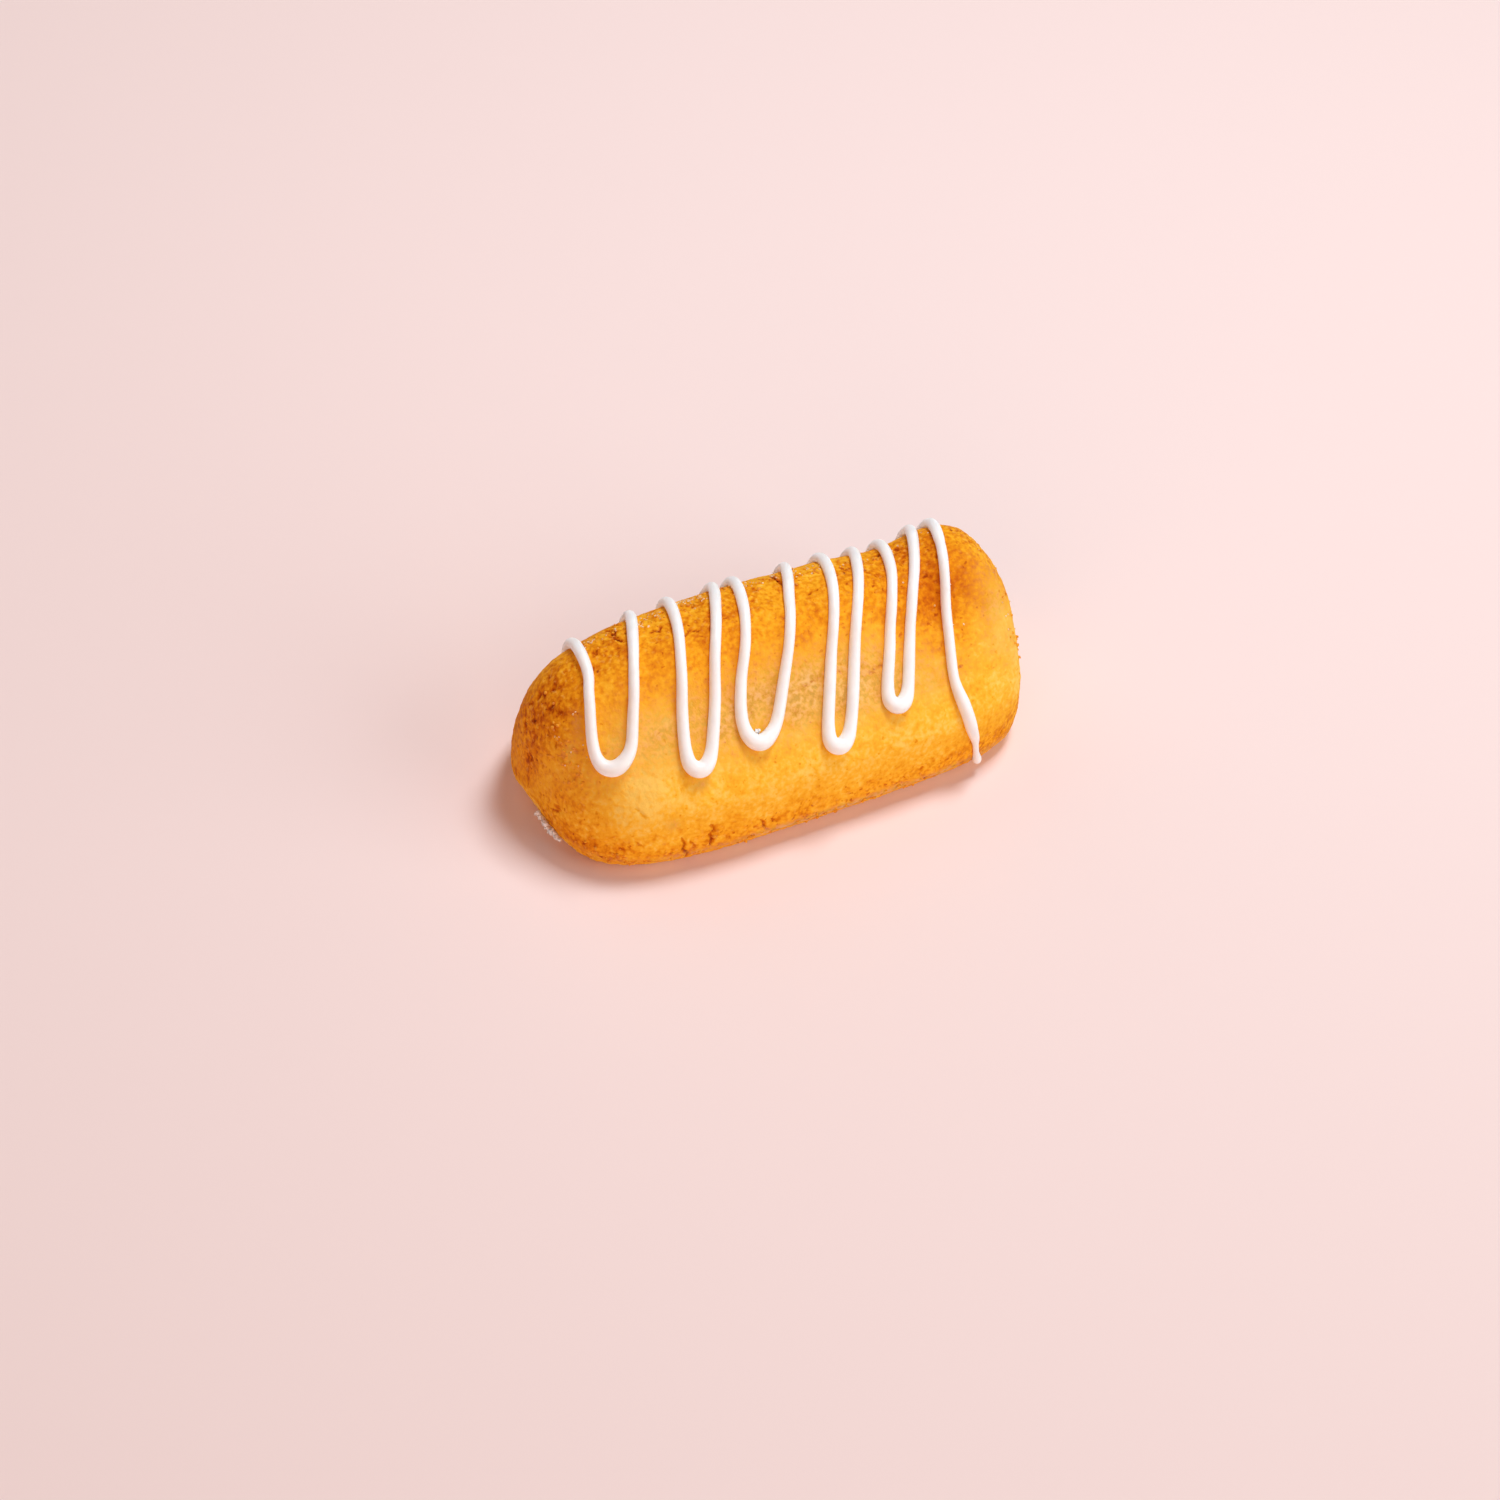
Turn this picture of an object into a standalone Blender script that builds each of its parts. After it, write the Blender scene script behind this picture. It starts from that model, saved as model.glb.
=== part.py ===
"""Kransekake bar: one finger of baked almond paste, pressed flat underneath and
pinched to a ridge on top, with a thread of white icing piped to and fro over it.

Metres, +Z up. +X runs along the bar, -Y is the flank on which the icing ends,
and the origin is the middle of the flat underside. A place on the crust is given
by x and by its run: the distance down from the crest, measured over the middle
section, positive on the -Y flank and negative on the +Y flank.
"""
import bmesh
import bpy
import numpy as np
from mathutils import Vector, noise

# ---- Driving dimensions of the baked bar -----------------------------------
LENGTH = 0.0782
WIDTH = 0.0408
HEIGHT = 0.0300
BELLY_HEIGHT = 0.0046       # where the flanks stand upright, just above the base
HEEL_INSET = 0.0030         # how far the rounded lower edge runs in to the flat base

# Section: a superellipse from belly to crest, pinched in towards the ridge.
FLANK_POWER = 2.2
FLANK_ROUNDING = 0.40
PINCH = 0.38                # share of the half width that the fingers took away
# Heights between which the pinch sets in, as shares of the rise above the belly. The
# far flank is pressed in lower down than the near one, so it falls away more steeply.
NEAR_PINCH = (0.235, 0.85)
FAR_PINCH = (0.04, 0.66)
PINCH_END_FADE = 0.70       # share of the pinch that is gone at the tip of each end
PINCH_FADE_POWER = 6.0

# Ends: superellipse powers of the plan and of the ridge line, higher for squarer.
LEFT_PLAN_POWER = 2.9
LEFT_SKEW_POWER = 0.45      # added on the near corner and taken off the far one
RIGHT_PLAN_POWER = 4.3
LEFT_RIDGE_POWER = 3.8
RIGHT_RIDGE_POWER = 4.9
LEFT_END_SKEW = -0.06       # the left end isn't quite square to the bar
TAPER = -0.03               # the right end is a little narrower than the left
HEEL_END_REACH = 0.0066     # length over which the underside curves up at an end

# Unevenness left by hand. Waves of the ridge: (x, rise).
RIDGE_WAVES = ((-0.0308, 0.0003), (-0.0178, -0.0004), (0.0075, -0.0004),
               (0.0192, -0.0016), (0.0317, 0.0024))
RIDGE_WAVE_REACH = 0.0066
# Finger dents, and bulges as negative depths: (x, run, depth, reach).
DENTS = ((0.0242, 0.0085, 0.0009, 0.0042), (0.0147, 0.0095, 0.0005, 0.0040),
         (-0.0298, 0.0010, 0.0006, 0.0024), (0.0012, 0.0008, 0.0006, 0.0022),
         (-0.0313, 0.0390, -0.0007, 0.0080))
CRUST_UNEVENNESS = 0.00022  # height of the soft lumps in the crust
CRUST_LUMP = 0.0055         # their size across

# ---- Driving dimensions of the icing thread --------------------------------
THREAD_RADIUS = 0.00092
THREAD_LIFT = 0.00045       # height of its centre line over the crust
THREAD_STEP = 0.0021        # spacing of the points along the thread
TURN_SWELL = 0.38           # how much fatter the thread is at the bottom of a near loop
SWELL_REACH = 0.0026
END_TAPER = (0.45, 0.85)    # radius at each end's last two points, as a share

# Passes over the bar: x on the crest, at two places down the near flank and at its foot.
PASSES = ((-0.0305, -0.0319, -0.0331, -0.0336), (-0.0232, -0.0255, -0.0272, -0.0287),
          (-0.0159, -0.0181, -0.0196, -0.0210), (-0.0098, -0.0130, -0.0148, -0.0172),
          (-0.0054, -0.0077, -0.0101, -0.0116), (0.0023, -0.0005, -0.0031, -0.0060),
          (0.0094, 0.0064, 0.0040, 0.0015), (0.0139, 0.0102, 0.0078, 0.0050),
          (0.0196, 0.0168, 0.0148, 0.0126), (0.0237, 0.0202, 0.0180, 0.0158),
          (0.0281, 0.0263, 0.0252, 0.0242))
# Near loops: (x, run) of the lowest point of each. The loop's left side is this far
# from it, and its right side this share of the way out to the right leg's foot.
NEAR_TURNS = ((-0.03175, 0.01815), (-0.01985, 0.02220), (-0.00970, 0.02100),
              (0.00240, 0.02515), (0.01345, 0.02210))
TURN_LEFT = -0.0014
TURN_RIGHT_SHARE = 0.55
TURN_RISE = 0.0010          # from the lowest point up to each side
LEFT_FOOT_RISE = 0.0040     # from the bottom of a near loop up to the foot of each leg
RIGHT_FOOT_RISE = 0.0029
# Far loops: how far down each reaches, and its least and greatest half width.
FAR_REACHES = (0.0195, 0.0212, 0.0188, 0.0206, 0.0180)
FAR_HALF_WIDTHS = (0.0014, 0.0027)
FAR_SLANT = 0.10
OVER_CREST = 0.0075         # this far beyond the crest, an outward pass and an inward
OUTWARD_DRIFT = 0.0028      # one have moved along the bar by these amounts
INWARD_DRIFT = 0.0020
FIRST_BLOB = (-0.0281, -0.0165)
# The loose end runs on down to the heel of the bar: (x, run, radius as a share).
LOOSE_END = ((0.0237, 0.0211, 0.88), (0.0241, 0.0252, 1.20), (0.0252, 0.0300, 0.95),
             (0.0264, 0.0342, 0.60), (0.0278, 0.0385, 0.75))

# ---- Fineness and materials ------------------------------------------------
BODY_CELLS = (38, 14, 10)   # mesh cells along X, Y and Z
TOP_SHARE = 0.34            # share of the half girth on the grid's top face
SIDE_SHARE = 0.40           # and on its side face
END_CAP_SCALE = 0.75        # size of the section at which the end faces begin
THREAD_BEVEL = 2            # gives the thread eight sides
WELD = 1e-6
GRID_SLACK = 1e-6           # a grid place this near the cube's face lies on it

NODE_NAME = "kransekake_bar"
CRUST_COLOUR = (0.82, 0.43, 0.09, 1.0)
CRUST_GLOSS = 0.62          # roughness
ICING_COLOUR = (0.89, 0.86, 0.80, 1.0)
ICING_GLOSS = 0.38


# ---- The form of the bar ---------------------------------------------------
def smoothstep(value):
    """0 below 0, 1 above 1, and an S-curve between them."""
    value = np.clip(value, 0.0, 1.0)
    return value * value * (3.0 - 2.0 * value)


def pinch_share(rise_share, pinch):
    """Share of the half width pinched away, at this share of the rise above the belly."""
    return PINCH * smoothstep((rise_share - pinch[0]) / (pinch[1] - pinch[0]))


def half_section(pinch, samples=240):
    """Run, distance from the middle and height, from the crest to the base's centre."""
    height = np.sin(np.linspace(np.pi / 2, 0.0, samples))
    flank_y = WIDTH / 2 * (1.0 - height ** FLANK_POWER) ** FLANK_ROUNDING
    flank_y *= 1.0 - pinch_share(height, pinch)
    flank_z = BELLY_HEIGHT + (HEIGHT - BELLY_HEIGHT) * height
    turn = np.linspace(0.0, np.pi / 2, samples // 4)[1:]
    heel_y = WIDTH / 2 - HEEL_INSET * (1.0 - np.cos(turn))
    heel_z = BELLY_HEIGHT * (1.0 - np.sin(turn))
    across = np.concatenate([flank_y, heel_y, [0.0]])
    up = np.concatenate([flank_z, heel_z, [0.0]])
    run = np.concatenate([[0.0], np.hypot(np.diff(across), np.diff(up)).cumsum()])
    return run, across, up


NEAR_SECTION = half_section(NEAR_PINCH)
FAR_SECTION = half_section(FAR_PINCH)


def section_point(run):
    """Signed y and z of the middle section."""
    if run < 0.0:
        runs, across, up = FAR_SECTION
        return np.interp(-run, runs, across), np.interp(-run, runs, up)
    runs, across, up = NEAR_SECTION
    return -np.interp(run, runs, across), np.interp(run, runs, up)


def superellipse(share, power):
    """What is left across, at this share of the way out to a superellipse's tip."""
    return max(0.0, 1.0 - abs(share) ** power) ** (1.0 / power)


def plan_power(reach, run):
    """How square the plan is here: the left end's near corner is fuller than its far one."""
    if reach > 0.0:
        return RIGHT_PLAN_POWER
    return LEFT_PLAN_POWER - LEFT_SKEW_POWER * section_point(run)[0] / (WIDTH / 2)


def smooth_form(reach, run):
    """Point of the even form, at a share `reach` of the half length."""
    x = reach * LENGTH / 2
    y, z = section_point(run)
    y *= superellipse(reach, plan_power(reach, run)) * (1.0 + TAPER * reach)
    rise = max(z - BELLY_HEIGHT, 0.0)
    pinched = pinch_share(rise / (HEIGHT - BELLY_HEIGHT), FAR_PINCH if run < 0.0 else NEAR_PINCH)
    faded = pinched * (1.0 - PINCH_END_FADE * abs(reach) ** PINCH_FADE_POWER)
    y *= (1.0 - faded) / (1.0 - pinched)

    wave = sum(high * np.exp(-((x - at) / RIDGE_WAVE_REACH) ** 2) for at, high in RIDGE_WAVES)
    rise += wave * (rise / (HEIGHT - BELLY_HEIGHT)) ** 2
    rise *= superellipse(reach, LEFT_RIDGE_POWER if reach < 0.0 else RIGHT_RIDGE_POWER)

    turn = max(0.0, 1.0 - (1.0 - abs(reach)) * LENGTH / 2 / HEEL_END_REACH)
    drop = max(BELLY_HEIGHT - z, 0.0) * superellipse(turn, 2.0)
    if reach < 0.0:
        x += LEFT_END_SKEW * y * reach ** 2
    return np.array([x, y, BELLY_HEIGHT + rise - drop])


def outward(reach, run):
    """Unit normal of the even form."""
    small_reach, small_run = 0.004, 0.0004
    low, high = max(reach - small_reach, -1.0), min(reach + small_reach, 1.0)
    along = smooth_form(high, run) - smooth_form(low, run)
    down = smooth_form(reach, run + small_run) - smooth_form(reach, run - small_run)
    normal = np.cross(down, along)
    return normal / max(np.linalg.norm(normal), 1e-12)


def crust(reach, run):
    """Point of the crust: the even form with its dents, bulges and soft lumps."""
    point = smooth_form(reach, run)
    depth = sum(deep * np.exp(-((point[0] - at) ** 2 + (run - down) ** 2) / size ** 2)
                for at, down, deep, size in DENTS)
    depth += CRUST_UNEVENNESS * noise.noise(Vector(point) / CRUST_LUMP)
    fade = smoothstep(point[2] / BELLY_HEIGHT) * superellipse(reach, 2.0)
    return point - fade * depth * outward(reach, run)


# ---- The baked bar ---------------------------------------------------------
def cube_grid(cells):
    """A cube from -1 to 1 with its faces cut into this many cells along each axis."""
    mesh = bmesh.new()
    bmesh.ops.create_cube(mesh, size=2.0)
    for axis, count in enumerate(cells):
        along = [edge for edge in mesh.edges
                 if abs(edge.verts[0].co[axis] - edge.verts[1].co[axis]) > 1.0]
        bmesh.ops.subdivide_edges(mesh, edges=along, cuts=count - 1, use_grid_fill=True)
    return mesh


def grid_run(across, up):
    """Run of a place on the rim of the cube's square section, whose top is the crest."""
    if across > 0.0:
        side, girth = -1.0, FAR_SECTION[0][-1]
    else:
        side, girth = 1.0, NEAR_SECTION[0][-1]
    if up > 1.0 - GRID_SLACK:
        share = abs(across) * TOP_SHARE
    elif up < GRID_SLACK - 1.0:
        share = 1.0 - abs(across) * (1.0 - TOP_SHARE - SIDE_SHARE)
    else:
        share = TOP_SHARE + SIDE_SHARE * (1.0 - up) / 2
    return side * share * girth


def grid_to_crust(co):
    """Where a vertex of the cube grid lies on the bar."""
    ring = max(abs(co.y), abs(co.z))
    end = np.sign(co.x)
    if ring < GRID_SLACK:
        return smooth_form(end, 0.0)
    run = grid_run(co.y / ring, co.z / ring)
    power = plan_power(end, run)
    if abs(co.x) > 1.0 - GRID_SLACK:
        return crust(end * superellipse(END_CAP_SCALE * ring, power), run)
    return crust(co.x * superellipse(END_CAP_SCALE, power), run)


def baked_bar():
    """The bar as a closed mesh object with one flat face underneath."""
    mesh = cube_grid(BODY_CELLS)
    for vertex in mesh.verts:
        vertex.co = grid_to_crust(vertex.co.copy())
    flat = [face for face in mesh.faces if all(abs(vertex.co.z) < WELD for vertex in face.verts)]
    bmesh.ops.dissolve_faces(mesh, faces=flat)
    bmesh.ops.recalc_face_normals(mesh, faces=mesh.faces)
    data = bpy.data.meshes.new(NODE_NAME)
    mesh.to_mesh(data)
    mesh.free()
    data.materials.append(plain_material("baked_crust", CRUST_COLOUR, CRUST_GLOSS))
    bar = bpy.data.objects.new(NODE_NAME, data)
    bpy.context.scene.collection.objects.link(bar)
    return bar


# ---- The icing thread ------------------------------------------------------
def near_leg(index):
    """Waypoints (x, run) of one pass on the near flank, from the crest to its foot."""
    if index // 2 == len(NEAR_TURNS):
        length = LOOSE_END[0][1] - LEFT_FOOT_RISE
    else:
        rise = RIGHT_FOOT_RISE if index % 2 else LEFT_FOOT_RISE
        length = NEAR_TURNS[index // 2][1] - rise
    return list(zip(PASSES[index], np.linspace(0.0, length, len(PASSES[index]))))


def near_turn(index):
    """Waypoints round the bottom of one near loop."""
    x, run = NEAR_TURNS[index]
    right = x + TURN_RIGHT_SHARE * (PASSES[2 * index + 1][-1] - x)
    return [(x + TURN_LEFT, run - TURN_RISE), (x, run), (right, run - TURN_RISE)]


def far_loop(index):
    """Waypoints (x, run) of the far loop between this pass and the next."""
    start = PASSES[index][0] + OUTWARD_DRIFT
    end = PASSES[index + 1][0] + INWARD_DRIFT
    reach = FAR_REACHES[index // 2]
    middle = (start + end) / 2 + FAR_SLANT * (reach - OVER_CREST)
    half = np.clip((end - start) / 2, *FAR_HALF_WIDTHS)
    return [(start, -OVER_CREST), (middle - half, half - reach), (middle, -reach),
            (middle + half, half - reach), (end, -OVER_CREST)]


def thread_route():
    """Waypoints of the whole thread, in the order in which it was piped."""
    route = [FIRST_BLOB]
    for index in range(len(PASSES)):
        if index % 2:
            route += near_leg(index)[::-1] + far_loop(index)
        elif index // 2 < len(NEAR_TURNS):
            route += near_leg(index) + near_turn(index // 2)
        else:
            route += near_leg(index)
    return route + [(x, run) for x, run, _ in LOOSE_END]


def smooth_curve(points, step):
    """Samples of the Catmull-Rom curve through 2-D points, about `step` apart."""
    points = np.array(points)
    padded = np.vstack([2 * points[0] - points[1], points, 2 * points[-1] - points[-2]])
    samples = []
    for before, start, end, after in zip(padded, padded[1:], padded[2:], padded[3:]):
        count = max(3, round(np.linalg.norm(end - start) / step))
        for t in np.arange(count) / count:
            samples.append(start + 0.5 * t * (end - before)
                           + t ** 2 * (before - 2.5 * start + 2 * end - 0.5 * after)
                           + t ** 3 * 0.5 * (3 * start - before - 3 * end + after))
    return np.array(samples + [points[-1]])


def thread_fatness(x, run):
    """The thread's radius here, as a share of its usual one."""
    fatness = 1.0 + TURN_SWELL * sum(
        np.exp(-((x - at) ** 2 + (run - down) ** 2) / SWELL_REACH ** 2) for at, down in NEAR_TURNS)
    loose_from = LOOSE_END[0][1]
    if x > PASSES[-1][-1] - THREAD_RADIUS and run > loose_from:
        _, runs, shares = zip(*LOOSE_END)
        fatness = np.interp(run, runs, shares)
    return fatness


def icing_thread():
    """The thread as a closed round tube, part sunk in the crust."""
    places = smooth_curve(thread_route(), THREAD_STEP)
    curve = bpy.data.curves.new("icing_thread", "CURVE")
    curve.dimensions = "3D"
    curve.bevel_depth = THREAD_RADIUS
    curve.bevel_resolution = THREAD_BEVEL
    curve.use_fill_caps = True
    spline = curve.splines.new("POLY")
    spline.points.add(len(places) - 1)
    for point, (x, run) in zip(spline.points, places):
        reach = x / (LENGTH / 2)
        fatness = thread_fatness(x, run)
        centre = crust(reach, run) + THREAD_LIFT * fatness * outward(reach, run)
        point.co = (*centre, 1.0)
        point.radius = fatness
    for from_end, share in enumerate(END_TAPER):
        spline.points[from_end].radius *= share
        spline.points[-1 - from_end].radius *= share
    tube = bpy.data.objects.new("icing_thread", curve)
    bpy.context.scene.collection.objects.link(tube)
    curve.materials.append(plain_material("royal_icing", ICING_COLOUR, ICING_GLOSS))
    return tube


# ---- Putting it together ---------------------------------------------------
def plain_material(name, colour, roughness):
    material = bpy.data.materials.new(name)
    material.diffuse_color = colour
    material.use_nodes = True
    shader = material.node_tree.nodes["Principled BSDF"]
    shader.inputs["Base Color"].default_value = colour
    shader.inputs["Roughness"].default_value = roughness
    shader.inputs["Metallic"].default_value = 0.0
    return material


def as_solid(item):
    """A closed mesh object in place of a curve object, its end caps welded on."""
    graph = bpy.context.evaluated_depsgraph_get()
    data = bpy.data.meshes.new_from_object(item.evaluated_get(graph))
    mesh = bmesh.new()
    mesh.from_mesh(data)
    bmesh.ops.remove_doubles(mesh, verts=mesh.verts, dist=WELD)
    bmesh.ops.recalc_face_normals(mesh, faces=mesh.faces)
    mesh.to_mesh(data)
    mesh.free()
    solid = bpy.data.objects.new(item.name, data)
    bpy.data.objects.remove(item, do_unlink=True)
    return solid


def fuse(base, toppings):
    """Join toppings to the base with one Boolean union, and remove them."""
    pieces = bpy.data.collections.new("toppings")
    bpy.context.scene.collection.children.link(pieces)
    for topping in toppings:
        pieces.objects.link(topping)
    union = base.modifiers.new("fused_toppings", "BOOLEAN")
    union.operation = "UNION"
    union.solver = "EXACT"
    union.use_self = True
    union.operand_type = "COLLECTION"
    union.material_mode = "TRANSFER"
    union.collection = pieces
    graph = bpy.context.evaluated_depsgraph_get()
    base.data = bpy.data.meshes.new_from_object(base.evaluated_get(graph))
    base.modifiers.clear()
    for topping in list(pieces.objects):
        bpy.data.objects.remove(topping, do_unlink=True)
    bpy.data.collections.remove(pieces)


def keep_outer_shell(data):
    """Drop the shells that a union leaves inside or beside the main one."""
    mesh = bmesh.new()
    mesh.from_mesh(data)
    shells = []
    unseen = set(mesh.faces)
    while unseen:
        shell = {unseen.pop()}
        front = list(shell)
        while front:
            beside = {face for edge in front.pop().edges for face in edge.link_faces} - shell
            shell |= beside
            front += beside
        unseen -= shell
        shells.append(shell)
    shells.sort(key=len)
    inner = [face for shell in shells[:-1] for face in shell]
    bmesh.ops.delete(mesh, geom=inner, context="FACES")
    mesh.to_mesh(data)
    mesh.free()


def clear_scene():
    for item in list(bpy.data.objects):
        bpy.data.objects.remove(item, do_unlink=True)


clear_scene()
bar = baked_bar()
fuse(bar, [as_solid(icing_thread())])
keep_outer_shell(bar.data)
bar.data.name = NODE_NAME
bar.data.shade_smooth()
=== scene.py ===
"""Kransekake bar: baked almond-paste finger with a thread of royal icing piped over it."""

import bmesh
import bpy
import numpy as np
from mathutils import Euler, Matrix, Vector, noise


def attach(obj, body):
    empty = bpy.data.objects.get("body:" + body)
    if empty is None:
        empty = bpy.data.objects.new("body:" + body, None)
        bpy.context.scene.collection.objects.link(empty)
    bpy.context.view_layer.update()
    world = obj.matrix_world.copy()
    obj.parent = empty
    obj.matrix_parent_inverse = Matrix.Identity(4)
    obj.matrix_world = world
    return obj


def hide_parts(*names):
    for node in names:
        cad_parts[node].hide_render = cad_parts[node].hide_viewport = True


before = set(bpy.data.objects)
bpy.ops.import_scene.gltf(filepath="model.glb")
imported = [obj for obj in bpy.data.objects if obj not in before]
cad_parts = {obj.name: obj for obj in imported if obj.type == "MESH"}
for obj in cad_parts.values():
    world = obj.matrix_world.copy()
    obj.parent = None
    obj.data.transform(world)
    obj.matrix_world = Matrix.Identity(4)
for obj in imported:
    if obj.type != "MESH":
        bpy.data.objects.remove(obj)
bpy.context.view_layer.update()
NODE = "kransekake_bar"


# ---- Baked bar -------------------------------------------------------------
# A finger of ground almonds, sugar and egg white, rolled, pressed flat under its own
# weight and pinched to a ridge by hand, then baked until the ridge and the ends brown.

# A place on it is given by x and by its run, the distance down from the crest, which is
# positive on the -Y flank and negative on the +Y flank.
LENGTH = 0.0782
WIDTH = 0.0408
HEIGHT = 0.0300
BELLY_HEIGHT = 0.0046        # where the bar is widest
HEEL_INSET = 0.0037          # how far the underside's rim stands in from there
FLANK_POWER = 2.2
FLANK_ROUNDING = 0.40
# The fingers took away this share of the half width at the ridge. On each flank the pinch
# sets in between two shares of the rise, and it fades towards the ends.
PINCH = 0.38
NEAR_PINCH = (0.235, 0.85)
FAR_PINCH = (0.04, 0.66)
PINCH_END_FADE = 0.70
PINCH_FADE_POWER = 6.0
# How square the ends are, seen from above and along the ridge: a higher power is squarer.
# The left end is squarer on one flank, and leans.
LEFT_PLAN_POWER = 3.0
LEFT_SKEW_POWER = 0.55
RIGHT_PLAN_POWER = 4.3
LEFT_RIDGE_POWER = 3.8
RIGHT_RIDGE_POWER = 4.9
LEFT_END_SKEW = -0.06
TAPER = -0.03                # how much narrower the right end is than the middle
HEEL_END_REACH = 0.0066
# Rises and dips of the ridge, left by the fingers: (x, height).
RIDGE_WAVES = ((-0.0308, 0.0003), (-0.0178, -0.0004), (0.0075, -0.0004),
               (0.0192, -0.0016), (0.0317, 0.0024))
RIDGE_WAVE_REACH = 0.0066
# Finger dents, and bulges as negative depths: (x, run, depth, reach).
DENTS = ((0.0242, 0.0085, 0.0009, 0.0042), (0.0147, 0.0095, 0.0005, 0.0040),
         (-0.0298, 0.0010, 0.0006, 0.0024), (0.0012, 0.0008, 0.0006, 0.0022),
         (-0.0313, 0.0390, -0.0007, 0.0080))
CRUST_UNEVENNESS = 0.00022
CRUST_LUMP = 0.0055
FLANK_SAMPLES = 240
HEEL_SAMPLES = 60


def smoothstep(value):
    value = np.clip(value, 0.0, 1.0)
    return value * value * (3.0 - 2.0 * value)


def pinch_share(rise_share, pinch):
    """Share of the half width that the fingers took away at this share of the rise."""
    return PINCH * smoothstep((rise_share - pinch[0]) / (pinch[1] - pinch[0]))


def half_section(pinch):
    """Run, distance from the middle and height, from the crest to the base's centre."""
    height = np.sin(np.linspace(np.pi / 2, 0.0, FLANK_SAMPLES))
    flank_y = WIDTH / 2 * (1.0 - height ** FLANK_POWER) ** FLANK_ROUNDING
    flank_y *= 1.0 - pinch_share(height, pinch)
    flank_z = BELLY_HEIGHT + (HEIGHT - BELLY_HEIGHT) * height
    turn = np.linspace(0.0, np.pi / 2, HEEL_SAMPLES)[1:]
    across = np.concatenate([flank_y, WIDTH / 2 - HEEL_INSET * (1.0 - np.cos(turn)), [0.0]])
    up = np.concatenate([flank_z, BELLY_HEIGHT * (1.0 - np.sin(turn)), [0.0]])
    run = np.concatenate([[0.0], np.hypot(np.diff(across), np.diff(up)).cumsum()])
    return run, across, up


NEAR_SECTION = half_section(NEAR_PINCH)
FAR_SECTION = half_section(FAR_PINCH)


def section_point(run):
    far_y, far_z = (np.interp(-run, FAR_SECTION[0], row) for row in FAR_SECTION[1:])
    near_y, near_z = (np.interp(run, NEAR_SECTION[0], row) for row in NEAR_SECTION[1:])
    return np.where(run < 0.0, far_y, -near_y), np.where(run < 0.0, far_z, near_z)


def superellipse(share, power):
    return np.maximum(0.0, 1.0 - np.abs(share) ** power) ** (1.0 / power)


def plan_power(reach, run):
    left = LEFT_PLAN_POWER - LEFT_SKEW_POWER * section_point(run)[0] / (WIDTH / 2)
    return np.where(reach > 0.0, RIGHT_PLAN_POWER, left)


def smooth_form(reach, run):
    """Points of the even form, at shares `reach` of the half length."""
    x = reach * LENGTH / 2
    y, z = section_point(run)
    y = y * superellipse(reach, plan_power(reach, run)) * (1.0 + TAPER * reach)
    rise = np.maximum(z - BELLY_HEIGHT, 0.0)
    rise_share = rise / (HEIGHT - BELLY_HEIGHT)
    pinched = np.where(run < 0.0, pinch_share(rise_share, FAR_PINCH),
                       pinch_share(rise_share, NEAR_PINCH))
    faded = pinched * (1.0 - PINCH_END_FADE * np.abs(reach) ** PINCH_FADE_POWER)
    y = y * (1.0 - faded) / (1.0 - pinched)
    wave = sum(high * np.exp(-((x - at) / RIDGE_WAVE_REACH) ** 2) for at, high in RIDGE_WAVES)
    rise = rise + wave * rise_share ** 2
    ridge_power = np.where(reach < 0.0, LEFT_RIDGE_POWER, RIGHT_RIDGE_POWER)
    rise = rise * superellipse(reach, ridge_power)
    turn = np.maximum(0.0, 1.0 - (1.0 - np.abs(reach)) * LENGTH / 2 / HEEL_END_REACH)
    drop = np.maximum(BELLY_HEIGHT - z, 0.0) * superellipse(turn, 2.0)
    x = x + np.where(reach < 0.0, LEFT_END_SKEW * y * reach ** 2, 0.0)
    return np.stack([x, y, BELLY_HEIGHT + rise - drop], -1)


def outward(reach, run):
    """Unit normals of the even form."""
    small_reach, small_run = 0.004, 0.0004
    along = (smooth_form(np.minimum(reach + small_reach, 1.0), run)
             - smooth_form(np.maximum(reach - small_reach, -1.0), run))
    down = smooth_form(reach, run + small_run) - smooth_form(reach, run - small_run)
    normal = np.cross(down, along)
    return normal / np.maximum(np.linalg.norm(normal, axis=-1, keepdims=True), 1e-12)


def noise_field(points, size, seed=0.0):
    """Smooth noise of about -1 to 1, with lumps of this size, at each of the points.
    `seed` moves the noise, so that no two layers have the same lumps."""
    return np.array([noise.noise(Vector(point)) for point in points / size + seed])


def crust(reach, run):
    """Points of the crust with its dents, bulges and soft lumps, before its crumb."""
    points = smooth_form(reach, run)
    depth = sum(deep * np.exp(-((points[:, 0] - at) ** 2 + (run - down) ** 2) / size ** 2)
                for at, down, deep, size in DENTS)
    depth = depth + CRUST_UNEVENNESS * noise_field(points, CRUST_LUMP)
    fade = smoothstep(points[:, 2] / BELLY_HEIGHT) * superellipse(reach, 2.0)
    return points - (fade * depth)[:, None] * outward(reach, run)


BODY_CELLS = (250, 60, 104)
# How much of the run, from the crest to the underside's middle, the cube's top and sides
# cover, and how much of the ends' half width its end faces do.
TOP_SHARE = 0.155
SIDE_SHARE = 0.525
END_CAP_SCALE = 0.75
ON_FACE = 1.0 - 1e-6         # a point of the cube past this lies on the face


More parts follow.
